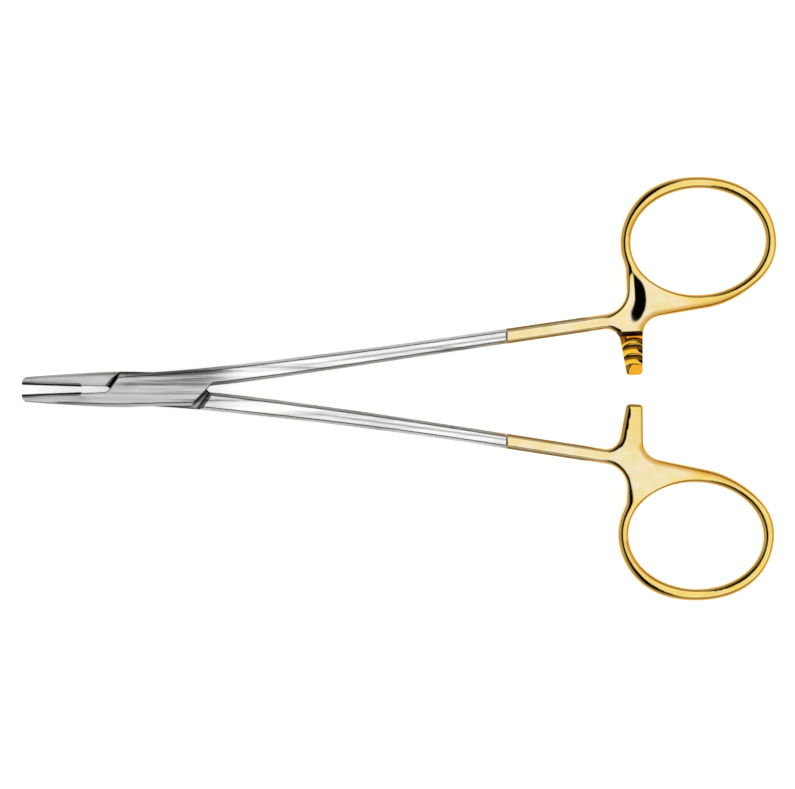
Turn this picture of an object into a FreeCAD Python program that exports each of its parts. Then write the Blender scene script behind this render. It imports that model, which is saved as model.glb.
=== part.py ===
# Needle holder with a box lock, a finger ring on each arm, a ratchet and hard-metal jaw inserts.
# Units are millimetres. Each arm is drawn as it lies with the jaws shut: X runs from the jaws to
# the rings, Y across the arms, Z up through the pivot, with the middle plane of the steel at Z = 0.
# The arms are then opened to the resting position and set down on the plane Z = 0.
import FreeCAD
import Part
import math
import os

V = FreeCAD.Vector

# Resting position, jaws a little open. The jaws meet when the arms still stand open by the second angle.
OPEN_ANGLE = 4.8
MEET_ANGLE = 0.8

# Box lock: plan
BOX_START_X = -10.9
BOX_START_HALF = 3.68
BOX_MIDDLE_X = 1.0
BOX_MIDDLE_HALF = 4.02
JAW_CROTCH_X = -10.5
JAW_CHEEK_ANGLE = 52.8
SHANK_CROTCH_X = 13.45
SHANK_CROTCH_Y = 0.2
SHANK_CHEEK_ANGLE = 43.4
SHOULDER_ANGLE = 56.7

# Box lock: thicknesses and fits
BOX_THICKNESS = 4.6
TENON_THICKNESS = 1.9
SLIDE_CLEARANCE = 0.05
LOCK_CLEARANCE = 0.15
SHOULDER_X = 13.65
PIN_RADIUS = 1.3
PIN_HEAD_RADIUS = 1.6
PIN_HEAD_DEPTH = 0.3
PIN_CLEARANCE = 0.03
CHEEK_BEVEL = 0.18
SHOULDER_BEVEL = 0.55

# Jaws
TIP_X = -30.9
TIP_HALF_WIDTH = 1.62
TIP_HALF_HEIGHT = 1.15
TIP_NOSE = 1.5
JAW_BOW = 0.08
JAW_RELIEF = 0.28
JAW_RUNOUT_X = -12.6
JAW_RUNOUT_RISE = 0.9
INSERT_LENGTH = 13.9
INSERT_DEPTH = 0.9
INSERT_END_SLANT = 0.35
INSERT_FACE_GAP = 0.02

# Shanks: three stations of the centre line, then widths and thickness. The tenon arm bends out further.
SHANK_X = (23.0, 58.0, 104.0)
BOX_SHANK_Y = (3.0, 6.15, 10.78)
TENON_SHANK_Y = (3.0, 6.1, 11.3)
SHANK_WIDTH = (4.3, 3.75, 3.5)
SHANK_THICKNESS = 3.2
SHANK_THIN_X = (6.0, 46.0)
EDGE_BEVEL = 0.72

# Finger rings, placed from the end of the shank. The band widths go round the hole by eighths of a
# turn, from the end away from the jaws to the side away from the other ring.
WEB_AHEAD = 8.8
BOX_HOLE_AHEAD = 1.5
TENON_HOLE_AHEAD = 0.8
HOLE_LOW = 5.7
HOLE_HALF = (15.9, 12.55)
RING_BAND = (2.6, 3.0, 2.8, 3.15, 2.5, 3.3, 3.35, 2.55)
ROUND = 1.05
SHANK_RING_FILLET = 5.6
BAR_RING_FILLET = 4.7
SKIRT_Y = 11.4
SHANK_BAR_FILLET = 3.4

# Ratchet bars
BAR_RIGHT_AHEAD = 11.75
BAR_LEFT_AHEAD = 7.9
BOX_BAR_END_Y = -1.75
TENON_BAR_END_Y = -0.9
BAR_RIGHT_LEAN = 0.047
BAR_LEFT_LEAN = 0.142
BAR_CORNER = 0.9
BAR_CLEARANCE = 0.05
BAR_CROWN_RADIUS = 6.0
STEP_TOP_Y = 8.6
STEP_LOW_Y = 7.4
STEP_LAND = 0.25
TOOTH_Y = 0.81
TOOTH_PITCH = 2.43
TOOTH_DEPTH = 0.7
TOOTH_WALL = 0.25
TOOTH_LAND = 0.12
TOOTH_COUNT = 3
TOOTH_ARC = 3.4

# Places that follow from the sizes above
WEB_X = SHANK_X[2] + WEB_AHEAD
BAR_RIGHT_X = SHANK_X[2] + BAR_RIGHT_AHEAD
BAR_LEFT_X = SHANK_X[2] + BAR_LEFT_AHEAD


def curve(points, start, end):
    """A smooth curve through plan points, with the given directions at its ends."""
    line = Part.BSplineCurve()
    line.interpolate(Points=[V(x, y, 0) for x, y in points], InitialTangent=V(*start, 0),
                     FinalTangent=V(*end, 0))
    return line


def at_x(line, x):
    """The curve parameter where the curve reaches station x."""
    low, high = line.FirstParameter, line.LastParameter
    for _ in range(60):
        middle = (low + high) / 2
        if line.value(middle).x < x:
            low = middle
        else:
            high = middle
    return middle


def mirrored(shape):
    return shape.mirror(V(0, 0, 0), V(0, 1, 0))


def slab(points, low, high):
    """A plate between two heights from a closed plan polygon."""
    wire = Part.makePolygon([V(x, y, low) for x, y in points + points[:1]])
    return Part.Face(wire).extrude(V(0, 0, high - low))


# Outer edge of box and shank, and inner edge of the shank
def edges_of_arm(shank_y):
    outer = [(BOX_START_X, BOX_START_HALF), (BOX_MIDDLE_X, BOX_MIDDLE_HALF)]
    inner = [(SHANK_CROTCH_X + SHANK_CROTCH_Y / math.tan(math.radians(SHANK_CHEEK_ANGLE)),
              SHANK_CROTCH_Y)]
    for x, y, w in zip(SHANK_X, shank_y, SHANK_WIDTH):
        outer.append((x, y + w / 2))
        inner.append((x, y - w / 2))
    run, rise = SHANK_X[2] - SHANK_X[1], shank_y[2] - shank_y[1]
    unit = 30 / math.hypot(run, rise)
    end = (run * unit, rise * unit)
    return curve(outer, (12, 1.0), end), curve(inner, (9, 0.45), end)


BOX_EDGES = edges_of_arm(BOX_SHANK_Y)
TENON_EDGES = edges_of_arm(TENON_SHANK_Y)


def outer_y(x):
    """Half width of the box, and the outer edge of the shank near it."""
    return BOX_EDGES[0].value(at_x(BOX_EDGES[0], x)).y


def meet_outer(x0, y0, angle):
    """Where a line from (x0, y0), leaning back by the angle from X, meets the outer edge."""
    low, high = 0.0, 9.0
    slope = 1 / math.tan(math.radians(angle))
    for _ in range(50):
        y = (low + high) / 2
        if outer_y(x0 + (y - y0) * slope) > y:
            low = y
        else:
            high = y
    return x0 + (y - y0) * slope


def dip(x):
    """How far past the middle line a jaw face lies, because the jaws meet before the arms do."""
    return -x * math.tan(math.radians(MEET_ANGLE / 2))


# Box and shank in one piece, before the lock is cut
def side_profile():
    """Thickness of the arm seen from the side: thick at the box, thinner along the shank."""
    thick, thin = BOX_THICKNESS / 2, SHANK_THICKNESS / 2
    x0, x1 = SHANK_THIN_X
    far = SHANK_X[2] + 5
    fall = Part.BSplineCurve()
    fall.interpolate(Points=[V(x0, -20, thick), V(x1, -20, thin)], InitialTangent=V(x1 - x0, 0, 0),
                     FinalTangent=V(x1 - x0, 0, 0))
    top = [Part.makeLine(V(-20, -20, thick), V(x0, -20, thick)), fall.toShape(),
           Part.makeLine(V(x1, -20, thin), V(far, -20, thin))]
    low = [edge.mirror(V(0, 0, 0), V(0, 0, 1)) for edge in top]
    ends = [Part.makeLine(V(-20, -20, -thick), V(-20, -20, thick)),
            Part.makeLine(V(far, -20, -thin), V(far, -20, thin))]
    wire = Part.Wire(Part.__sortEdges__(top + low + ends))
    return Part.Face(wire).extrude(V(0, 40, 0))


def blank(edges):
    outer, inner = edges
    cheek_x = meet_outer(JAW_CROTCH_X, 0, JAW_CHEEK_ANGLE)
    slope = 1 / math.tan(math.radians(SHANK_CHEEK_ANGLE))
    shank_x = SHANK_CROTCH_X
    for _ in range(40):
        shank_x = SHANK_CROTCH_X - outer_y(shank_x) * slope
    top = outer.toShape(at_x(outer, cheek_x), outer.LastParameter)
    box_outer = BOX_EDGES[0]
    low = mirrored(box_outer.toShape(box_outer.FirstParameter, at_x(box_outer, shank_x)))
    start = V(BOX_START_X, dip(BOX_START_X), 0)
    jaw_crotch = V(JAW_CROTCH_X, dip(BOX_START_X), 0)
    outline = [top, low, inner.toShape(),
               Part.makeLine(jaw_crotch, top.Vertexes[0].Point),
               Part.makeLine(start, jaw_crotch),
               Part.makeLine(start, V(BOX_START_X, -BOX_START_HALF, 0)),
               Part.makeLine(V(shank_x, -outer_y(shank_x), 0), inner.StartPoint),
               Part.makeLine(outer.EndPoint, inner.EndPoint)]
    wire = Part.Wire(Part.__sortEdges__(outline))
    body = Part.Face(wire).extrude(V(0, 0, BOX_THICKNESS))
    body.translate(V(0, 0, -BOX_THICKNESS / 2))
    body = body.common(side_profile()).removeSplitter()
    return body.makeChamfer(EDGE_BEVEL, long_edges(body))


def long_edges(body):
    """The top and bottom edges that run along the arm: both outer sides and the inner shank edge."""
    found = []
    for edge in body.Edges:
        middle = edge.valueAt((edge.FirstParameter + edge.LastParameter) / 2)
        if edge.Length < 1.0 or abs(middle.z) < SHANK_THICKNESS / 2 - 0.1:
            continue
        if edge.tangentAt((edge.FirstParameter + edge.LastParameter) / 2).x ** 2 < 0.8:
            continue
        if BOX_START_X < middle.x < JAW_CROTCH_X + 0.1 and abs(middle.y) < 0.5:
            continue
        found.append(edge)
    return found


# Jaws, drawn on the +Y side
def jaw_half_width(x):
    t = (x - TIP_X) / (BOX_START_X - TIP_X)
    if t > 1:
        return outer_y(x)
    return TIP_HALF_WIDTH + (BOX_START_HALF - TIP_HALF_WIDTH) * t + 4 * JAW_BOW * t * (1 - t)


def section(x, points, side):
    """A closed section at station x: a smooth top, an optional straight side, and their mirror."""
    top = Part.BSplineCurve()
    top.interpolate([V(x, y, z) for y, z in points])
    upper = [top.toShape()]
    for (y0, z0), (y1, z1) in zip(side, side[1:]):
        upper.append(Part.makeLine(V(x, y0, z0), V(x, y1, z1)))
    lower = [edge.mirror(V(0, 0, 0), V(0, 0, 1)) for edge in upper]
    y0, z0 = points[0]
    closing = [Part.makeLine(V(x, y0, z0), V(x, y0, -z0))]
    y1, z1 = side[-1] if side else points[-1]
    if z1 > 1e-6:
        closing.append(Part.makeLine(V(x, y1, z1), V(x, y1, -z1)))
    return Part.Wire(Part.__sortEdges__(upper + lower + closing))


def jaw_room():
    """The space of a jaw between the top and bottom planes of the box."""
    half = BOX_THICKNESS / 2
    return slab([(TIP_X - 1, -2), (5, -2), (5, 20), (TIP_X - 1, 20)], -half, half)


def bevelled_jaw():
    """Jaw that carries the bevelled edge of the box on to its tip."""
    wires = []
    for t in (0.0, 0.05, 0.3, 0.65, 1.0):
        x = TIP_X + t * (BOX_START_X - TIP_X)
        w = jaw_half_width(x)
        z = TIP_HALF_HEIGHT + (BOX_THICKNESS / 2 - TIP_HALF_HEIGHT) * t
        z = z - 0.25 * (1 - t) ** 30
        e = EDGE_BEVEL * (0.5 + 0.5 * t)
        dome = 1 - t
        top = [(-dip(x), z * (1 - 0.08 * dome)), (0.35 * w, z), (w - e, z * (1 - 0.2 * dome))]
        side = [top[-1], (w, top[-1][1] - e)]
        wires.append(section(x, top, side))
    return Part.makeLoft(wires, True, False).common(jaw_room())


def conical_jaw():
    """Jaw rounded like half a cone, which runs out into the flat of the box."""
    wires = []
    end = JAW_CROTCH_X + 5
    for x in (TIP_X, TIP_X + 1, TIP_X + 6, TIP_X + 12, JAW_RUNOUT_X, end):
        w = jaw_half_width(x)
        t = (x - TIP_X) / (JAW_RUNOUT_X - TIP_X)
        z = TIP_HALF_HEIGHT + (BOX_THICKNESS / 2 - TIP_HALF_HEIGHT) * t
        if x > JAW_RUNOUT_X:
            z = BOX_THICKNESS / 2 + JAW_RUNOUT_RISE
        z = z - 0.25 * max(0, 1 - t) ** 30
        top = [(-dip(x), 0.86 * z), (0.38 * w, z), (0.8 * w, 0.74 * z), (w, 0.3 * z)]
        wires.append(section(x, top, []))
    return Part.makeLoft(wires, True, False).common(jaw_room())


def nose(jaw):
    """Rounds the outer corner of the jaw tip in plan."""
    r = TIP_NOSE
    x = TIP_X + r
    y = jaw_half_width(TIP_X + r) - r
    corner = slab([(TIP_X - 1, y), (x, y), (x, y + 3 * r), (TIP_X - 1, y + 3 * r)], -4, 4)
    return jaw.cut(corner.cut(Part.makeCylinder(r, 8, V(x, y, -4))))


def face_layer(x0, x1, depth, slant=0.0):
    """A layer next to the other jaw, from x0 to x1 and to a depth below the jaw's face."""
    points = [(x0, -1 - dip(x0)), (x1 + slant, -1 - dip(x1)), (x1 + slant, -dip(x1)),
              (x1 - slant, depth - dip(x1)), (x0, depth - dip(x0))]
    return slab(points, -4, 4)


def insert_layer():
    """Room for a jaw insert, with its slanting rear end."""
    return face_layer(TIP_X - 1, TIP_X + INSERT_LENGTH, INSERT_DEPTH, INSERT_END_SLANT)


# Ring, junction and ratchet bar
def hole_tool(x, y, height):
    """A solid in the shape of the finger hole."""
    edge = Part.Ellipse(V(x, y, 0), HOLE_HALF[0], HOLE_HALF[1]).toShape()
    solid = Part.Face(Part.Wire(edge)).extrude(V(0, 0, height))
    solid.translate(V(0, 0, -height / 2))
    return solid


def upright(solid, x, y, reach=0.6):
    """The upright edge of the solid that stands near (x, y)."""
    best = None
    for edge in solid.Edges:
        a, b = edge.Vertexes[0].Point, edge.Vertexes[-1].Point
        if abs(a.x - b.x) > 1e-4 or abs(a.y - b.y) > 1e-4 or abs(a.z - b.z) < 1:
            continue
        far = math.hypot(a.x - x, a.y - y)
        if best is None or far < best[0]:
            best = (far, edge)
    return best[1]


def rim_line(x, y):
    """Outer edge of the ring: a closed smooth curve at the band's width outside the hole."""
    points = []
    for i, band in enumerate(RING_BAND):
        a = math.radians(360 / len(RING_BAND) * i)
        r = band + 1 / math.hypot(math.cos(a) / HOLE_HALF[0], math.sin(a) / HOLE_HALF[1])
        points.append(V(x + r * math.cos(a), y + r * math.sin(a), 0))
    line = Part.BSplineCurve()
    line.interpolate(Points=points, PeriodicFlag=True)
    return line, [line.parameter(p) for p in points]


def rim_low(line, low, high, x):
    """The point of the rim at station x, between two curve parameters."""
    for _ in range(50):
        middle = (low + high) / 2
        if line.value(middle).x < x:
            low = middle
        else:
            high = middle
    return line.value(middle).x, line.value(middle).y


def rim_touch(line, low, high, x, y):
    """Where a line from (x, y) just touches the rim from below."""
    for _ in range(50):
        middle = (low + high) / 2
        p, d = line.value(middle), line.tangent(middle)[0]
        if d.y * (p.x - x) < d.x * (p.y - y):
            low = middle
        else:
            high = middle
    return p.x, p.y


def ring(edges, hole_ahead, bar_end):
    """Finger ring with its junction and a plain full-thickness bar, all edges rounded."""
    t = SHANK_THICKNESS
    x0 = SHANK_X[2]
    outer, inner = edges[0].EndPoint.y, edges[1].EndPoint.y
    end = edges[0].tangent(edges[0].LastParameter)[0]
    slope = end.y / end.x
    hole_x = WEB_X + hole_ahead + HOLE_HALF[0]
    hole_y = (outer + inner) / 2 + HOLE_LOW + HOLE_HALF[1]
    line, eighths = rim_line(hole_x, hole_y)
    web_y = outer + slope * (WEB_X - x0)
    web_top = rim_low(line, eighths[4], eighths[6], WEB_X)
    inner_x = bar_left(inner + 0.6)
    inner_y = inner + slope * (inner_x - x0)
    skirt = rim_touch(line, eighths[5], eighths[7], bar_right(SKIRT_Y), SKIRT_Y)
    plate = slab([(x0, inner), (inner_x, inner_y), (bar_left(bar_end), bar_end),
                  (bar_right(bar_end), bar_end), (bar_right(SKIRT_Y), SKIRT_Y),
                  skirt, (hole_x, hole_y - HOLE_HALF[1]), (WEB_X, web_top[1] + 1.5),
                  (WEB_X, web_y), (x0, outer)], -t / 2, t / 2)
    rim = Part.Face(Part.Wire(line.toShape())).extrude(V(0, 0, t))
    rim.translate(V(0, 0, -t / 2))
    body = plate.fuse(rim).removeSplitter()
    corners = [(WEB_X, web_y, SHANK_RING_FILLET), (WEB_X, web_top[1], SHANK_RING_FILLET),
               (bar_right(SKIRT_Y), SKIRT_Y, BAR_RING_FILLET), (inner_x, inner_y, SHANK_BAR_FILLET),
               (bar_left(bar_end), bar_end, BAR_CORNER), (bar_right(bar_end), bar_end, BAR_CORNER)]
    for x, y, r in corners:
        body = body.makeFillet(r, [upright(body, x, y)])
    body = body.cut(hole_tool(hole_x, hole_y, 3 * t))
    rims = []
    for edge in body.Edges:
        middle = edge.valueAt((edge.FirstParameter + edge.LastParameter) / 2)
        if abs(abs(middle.z) - t / 2) < 1e-4 and middle.x > x0 + 1e-3:
            rims.append(edge)
    return body.makeFillet(ROUND, rims)


def bar_left(y):
    return BAR_LEFT_X - BAR_LEFT_LEAN * (y + 1)


def bar_right(y):
    return BAR_RIGHT_X + BAR_RIGHT_LEAN * (y + 1)


def bar_room():
    """What is cut away above the ratchet bar: the step, the teeth and the crown of the bar."""
    high = SHANK_THICKNESS / 2 + 1
    crest = -BAR_CLEARANCE
    root = crest - TOOTH_DEPTH
    far = BOX_BAR_END_Y - 2
    middle = (bar_left(0) + bar_right(0)) / 2
    step = [V(0, STEP_TOP_Y + 1, high), V(0, STEP_TOP_Y, high - 1), V(0, STEP_LOW_Y, crest),
            V(0, far, crest), V(0, far, high), V(0, STEP_TOP_Y + 1, high)]
    room = Part.Face(Part.makePolygon(step)).extrude(V(20, 0, 0))
    room.translate(V(middle - 10, 0, 0))
    for i in range(TOOTH_COUNT):
        r = TOOTH_ARC
        y = TOOTH_Y + i * TOOTH_PITCH - r
        back = min(y + r + TOOTH_PITCH - TOOTH_LAND, STEP_LOW_Y - STEP_LAND)
        foot = V(0, y + r + TOOTH_WALL, root)
        top = V(0, back, crest + 0.02)
        run, rise = top.y - foot.y, top.z - foot.z
        bend = (run ** 2 + rise ** 2) / (2 * rise)
        half = math.atan(rise / run)
        between = V(0, foot.y + bend * math.sin(half), foot.z + bend * (1 - math.cos(half)))
        sides = Part.makePolygon([top, V(0, back, crest + 0.1), V(0, y + r, crest + 0.1),
                                  V(0, y + r, crest), foot])
        gullet = Part.Arc(foot, between, top).toShape()
        cutter = Part.Face(Part.Wire(sides.Edges + [gullet])).revolve(V(0, y, 0), V(0, 0, 1), 140)
        cutter.rotate(V(0, y, 0), V(0, 0, 1), -70)
        cutter.translate(V(middle, 0, 0))
        room = room.fuse(cutter)
    nose_drop = [V(0, TOOTH_Y, crest), V(0, far, crest - 0.5 * TOOTH_DEPTH), V(0, far, crest + 1),
                 V(0, TOOTH_Y, crest + 1), V(0, TOOTH_Y, crest)]
    nose_cut = Part.Face(Part.makePolygon(nose_drop)).extrude(V(20, 0, 0))
    nose_cut.translate(V(middle - 10, 0, 0))
    room = room.fuse(nose_cut)
    crown_y = STEP_LOW_Y - STEP_LAND / 2
    crown = slab([(middle - 6, crown_y), (middle - 6, far), (middle + 6, far), (middle + 6, crown_y)],
                 crest - 2, high)
    round_top = Part.makeCylinder(BAR_CROWN_RADIUS, 40, V(middle, far - 10, crest - BAR_CROWN_RADIUS),
                                  V(0, 1, 0))
    return room.fuse(crown.cut(round_top))


# Lock
def strip(x, y, angle, low, high, side=1):
    """A large plate on one side of the line through (x, y) at an angle from X."""
    a = math.radians(angle)
    d = (math.cos(a), math.sin(a))
    n = (-d[1] * side, d[0] * side)
    reach = 300
    p = [(x - d[0] * reach, y - d[1] * reach), (x + d[0] * reach, y + d[1] * reach)]
    q = [(p[1][0] + n[0] * reach, p[1][1] + n[1] * reach), (p[0][0] + n[0] * reach, p[0][1] + n[1] * reach)]
    return slab(p + q, low, high)


def wedge(x, y, angle, size, side, ahead=12):
    """Takes a bevel off the top and bottom edges that stand on the line through (x, y)."""
    a = math.radians(angle)
    n = V(-math.sin(a) * side, math.cos(a) * side, 0)
    along = V(math.cos(a), math.sin(a), 0)
    top = BOX_THICKNESS / 2
    start = V(x, y, 0) - along * 12
    points = [start + n * -0.5 + V(0, 0, top - size - 0.5), start + n * (size + 0.5) + V(0, 0, top + 0.5),
              start + n * -0.5 + V(0, 0, top + 0.5)]
    prism = Part.Face(Part.makePolygon(points + points[:1])).extrude(along * (12 + ahead))
    return prism.fuse(prism.mirror(V(0, 0, 0), V(0, 0, 1)))


def box_arm():
    """Arm with the box: two cheeks, and the window that the other arm passes through."""
    body = blank(BOX_EDGES)
    h = TENON_THICKNESS / 2 + SLIDE_CLEARANCE
    window = slab([(-20, -20), (-20, 20), (20, 20), (20, -20)], -h, h)
    window = window.cut(strip(JAW_CROTCH_X, 0, -JAW_CHEEK_ANGLE, -h, h, -1))
    window = window.cut(strip(SHANK_CROTCH_X, 0, -SHANK_CHEEK_ANGLE, -h, h, 1))
    body = body.cut(window)
    crotch = SHANK_CROTCH_Y / math.sin(math.radians(SHANK_CHEEK_ANGLE))
    body = body.cut(wedge(SHANK_CROTCH_X, 0, SHANK_CHEEK_ANGLE, CHEEK_BEVEL, 1, crotch))
    jaw = nose(bevelled_jaw()).cut(face_layer(TIP_X - 1, BOX_START_X, JAW_RELIEF)).cut(insert_layer())
    ring_end = ring(BOX_EDGES, BOX_HOLE_AHEAD, BOX_BAR_END_Y).cut(bar_room())
    body = body.fuse([mirrored(jaw), ring_end]).removeSplitter()
    return body.cut(pin(0))


def tenon_arm():
    """Arm with the tenon, drawn on the same side as the box arm and then turned over in plan."""
    body = blank(TENON_EDGES)
    h = TENON_THICKNESS / 2
    # clear of the window's end walls
    dx = LOCK_CLEARANCE / math.sin(math.radians(JAW_CHEEK_ANGLE))
    over = slab([(-30, 0), (30, 0), (30, 30), (-30, 30)], -4, 4)
    body = body.cut(strip(JAW_CROTCH_X + dx, 0, JAW_CHEEK_ANGLE, -4, 4, 1).common(over))
    shank_dx = LOCK_CLEARANCE / math.sin(math.radians(SHANK_CHEEK_ANGLE))
    under = slab([(-30, -30), (30, -30), (30, SHANK_CROTCH_Y), (-30, SHANK_CROTCH_Y)], -4, 4)
    body = body.cut(strip(SHANK_CROTCH_X - shank_dx, 0, SHANK_CHEEK_ANGLE, -4, 4, -1).common(under))
    # shoulders: everything between them is thinned to the tenon
    left = strip(JAW_CROTCH_X - dx, 0, -JAW_CHEEK_ANGLE, -4, 4, 1)
    right = strip(SHOULDER_X, 0, -SHOULDER_ANGLE, -4, 4, 1)
    plates = slab([(-40, -40), (40, -40), (40, 40), (-40, 40)], h, 4)
    plates = plates.fuse(plates.mirror(V(0, 0, 0), V(0, 0, 1)))
    body = body.common(left).cut(plates.common(left).cut(right))
    body = body.cut(wedge(SHOULDER_X, 0, -SHOULDER_ANGLE, EDGE_BEVEL, 1))
    jaw = nose(conical_jaw()).cut(mirrored(left))
    jaw = jaw.cut(mirrored(wedge(JAW_CROTCH_X - dx, 0, -JAW_CHEEK_ANGLE, SHOULDER_BEVEL, -1)))
    jaw = jaw.cut(face_layer(TIP_X - 1, JAW_CROTCH_X + 3, JAW_RELIEF)).cut(insert_layer())
    ring_end = ring(TENON_EDGES, TENON_HOLE_AHEAD, TENON_BAR_END_Y).cut(bar_room().mirror(V(0, 0, 0), V(0, 0, 1)))
    body = body.fuse([mirrored(jaw), ring_end]).removeSplitter()
    return mirrored(body.cut(pin(PIN_CLEARANCE)))


def pin(clearance):
    """Rivet with a cone-shaped head at both faces of the box, ground flush."""
    t = BOX_THICKNESS / 2
    r, head = PIN_RADIUS + clearance, PIN_HEAD_RADIUS + clearance
    core = Part.makeCylinder(r, 2 * t, V(0, 0, -t))
    cone = Part.makeCone(r, head, PIN_HEAD_DEPTH, V(0, 0, t - PIN_HEAD_DEPTH))
    return core.fuse([cone, cone.mirror(V(0, 0, 0), V(0, 0, 1))]).removeSplitter()


# Jaw inserts
def insert(stock):
    """The layer of the jaw stock next to the other jaw, as far as the end of the insert."""
    return stock.common(insert_layer()).cut(face_layer(TIP_X - 1, 0, INSERT_FACE_GAP))


def placed(shape, angle):
    """Opens an arm by half the resting angle and sets it down on the plane Z = 0."""
    shape = shape.copy()
    shape.rotate(V(0, 0, 0), V(0, 0, 1), angle)
    shape.translate(V(0, 0, BOX_THICKNESS / 2))
    return shape.Solids[0] if len(shape.Solids) == 1 else shape


nodes = {
    "box_arm": placed(box_arm(), OPEN_ANGLE / 2),
    "lower_jaw_insert": placed(mirrored(insert(nose(bevelled_jaw()))), OPEN_ANGLE / 2),
    "pivot_pin": placed(pin(0), OPEN_ANGLE / 2),
    "tenon_arm": placed(tenon_arm(), -OPEN_ANGLE / 2),
    "upper_jaw_insert": placed(insert(nose(conical_jaw())), -OPEN_ANGLE / 2),
}

os.makedirs("parts", exist_ok=True)
for name, shape in nodes.items():
    shape.exportStep("parts/" + name + ".step")
    print(name, "solids", len(shape.Solids), "volume", round(shape.Volume, 2), shape.isValid())
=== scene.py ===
# %% [markdown]
# # Needle holder: dressing the frame
# The instrument has two forged arms that pass through each other in a box lock, a flush rivet, and two
# hard-metal inserts in the jaws. The frame brings all five as plain meshes. Loose triangles look faceted
# in polished metal, so each piece is dressed with a merged, smoothly shaded copy or with a new surface.

# %% Load the frame
import math

import bmesh
import bpy
import numpy as np
from mathutils import Matrix, Vector
from mathutils.geometry import delaunay_2d_cdt


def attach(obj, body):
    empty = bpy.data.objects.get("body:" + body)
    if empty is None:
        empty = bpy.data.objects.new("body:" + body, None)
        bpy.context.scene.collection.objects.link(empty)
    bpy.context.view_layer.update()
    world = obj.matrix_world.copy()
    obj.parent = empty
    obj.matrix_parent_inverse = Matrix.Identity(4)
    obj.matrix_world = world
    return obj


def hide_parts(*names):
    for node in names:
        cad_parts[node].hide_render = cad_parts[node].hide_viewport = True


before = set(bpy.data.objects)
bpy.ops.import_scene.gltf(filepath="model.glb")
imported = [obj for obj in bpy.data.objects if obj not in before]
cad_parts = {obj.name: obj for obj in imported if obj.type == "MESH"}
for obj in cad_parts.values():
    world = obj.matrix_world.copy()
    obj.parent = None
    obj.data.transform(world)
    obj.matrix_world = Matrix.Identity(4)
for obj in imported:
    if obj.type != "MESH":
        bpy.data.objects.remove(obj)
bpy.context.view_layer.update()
MM = 0.001
print("nodes:", sorted(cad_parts))

# %% [markdown]
# ## Colours
# Paint and metal colours are picked on a screen as sRGB hex values, but light is added up in linear
# values. One function turns the one into the other.

# %% Colour helper
def linear(code):
    """sRGB hex text to linear red, green, blue, alpha: the standard sRGB curve, undone."""
    c = np.array([int(code[i:i + 2], 16) for i in (1, 3, 5)]) / 255
    c = np.where(c <= 0.04045, c / 12.92, ((c + 0.055) / 1.055) ** 2.4)
    return (*c, 1.0)


print("mid grey is", round(linear("#808080")[0], 3))


# %% [markdown]
# ## Building materials from nodes
# A material is a small network of nodes. Each node needs a few settings, some fixed numbers and some
# links, so one helper takes all three at once and a node takes a line or two. Settings that come back
# often get a name.

# %% Node helper
SMOOTH = {"interpolation_type": "SMOOTHSTEP"}
TIMES, TIMES_PLUS = {"operation": "MULTIPLY"}, {"operation": "MULTIPLY_ADD"}
MINUS, UNSIGNED, LARGER = {"operation": "SUBTRACT"}, {"operation": "ABSOLUTE"}, {"operation": "MAXIMUM"}
DOT, LENGTH = {"operation": "DOT_PRODUCT"}, {"operation": "LENGTH"}
MIXED, TINTED = {"data_type": "RGBA"}, {"data_type": "RGBA", "blend_type": "MULTIPLY"}


def add(tree, kind, settings=None, stops=(), **sockets):
    """Adds a node, sets its properties, gives a colour ramp its stops, and fills or links its sockets, by
    name or by number as in0, in1."""
    node = tree.nodes.new(kind)
    for key, value in (settings or {}).items():
        setattr(node, key, value)
    for k, (position, code) in enumerate(stops):
        stop = node.color_ramp.elements[k] if k < 2 else node.color_ramp.elements.new(position)
        stop.position, stop.color = position, linear(code)
    for key, value in sockets.items():
        numbered = key[:2] == "in" and key[2:].isdigit()
        socket = node.inputs[int(key[2:])] if numbered else node.inputs[key]
        if isinstance(value, bpy.types.NodeSocket):
            tree.links.new(value, socket)
        else:
            socket.default_value = value
    return node


def new_material(name):
    """An empty node material with its output."""
    material = bpy.data.materials.new(name)
    material.use_nodes = True
    material.node_tree.nodes.clear()
    return material, material.node_tree, material.node_tree.nodes.new("ShaderNodeOutputMaterial")


# %% [markdown]
# ## Satin steel
# The arms are stainless steel, ground and brushed along their length. Brushing leaves fine streaks, so the
# tone and the roughness vary quickly across the arm and slowly along it. A noise that is stretched along X
# draws them: the fine one is 0.3 mm across, drawn about three times as coarse as the real grit so that it
# shows. The cheeks of the box are ground by hand, duller and darker, and on their upper half a painted
# shade darkens them further. The jaws beyond the box are finished lighter and coarser.

# %% Ground faces
def streaks(tree, place, across, along, detail):
    """Noise drawn out along X: its grain is across mm wide and along mm long."""
    scale = (1 / along / MM, 1 / across / MM, 1 / across / MM)
    drawn = add(tree, "ShaderNodeMapping", Vector=place, Scale=scale).outputs[0]
    return add(tree, "ShaderNodeTexNoise", Vector=drawn, Scale=1.0, Detail=detail, Roughness=0.6).outputs[0]


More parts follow.
